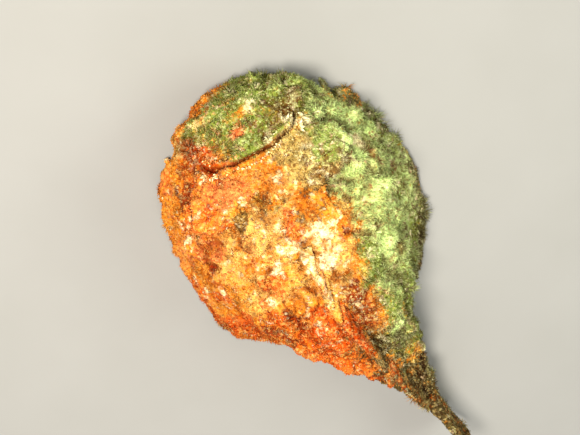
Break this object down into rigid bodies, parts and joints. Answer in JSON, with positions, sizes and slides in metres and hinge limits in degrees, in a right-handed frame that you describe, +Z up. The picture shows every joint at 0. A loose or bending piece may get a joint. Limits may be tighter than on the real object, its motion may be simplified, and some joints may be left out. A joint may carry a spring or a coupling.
{
  "type": "stonefish",
  "caption": "Reef stonefish lying on its belly: broad head with an upturned mouth, warty body, fanned side fins and a tail that turns to the right.",
  "frame": {"origin": "middle of the model's footprint, on the floor under the belly", "axes": "+Z up, -Y towards the snout, +Y towards the tail, +X towards the fish's left side"},
  "size_m": [0.1562, 0.3004, 0.0995],
  "materials": {
    "warty_skin": "wet, warty skin grown over with algae",
    "fin_skin": "thick wet skin over fin rays",
    "eye": "glossy"
  },
  "bodies": {
    "root": {"head": "warty_skin", "lower_jaw": "warty_skin", "trunk": "warty_skin", "tail": "warty_skin", "pectoral_fin_left": "fin_skin", "pectoral_fin_right": "fin_skin", "pelvic_fin_left": "fin_skin", "pelvic_fin_right": "fin_skin", "dorsal_fin_spiny": "fin_skin", "dorsal_fin_soft": "fin_skin", "anal_fin": "fin_skin", "caudal_fin": "fin_skin", "gill_cover_left": "warty_skin", "gill_cover_right": "warty_skin", "eye_left": "eye", "eye_right": "eye"}
  },
  "joints": []
}
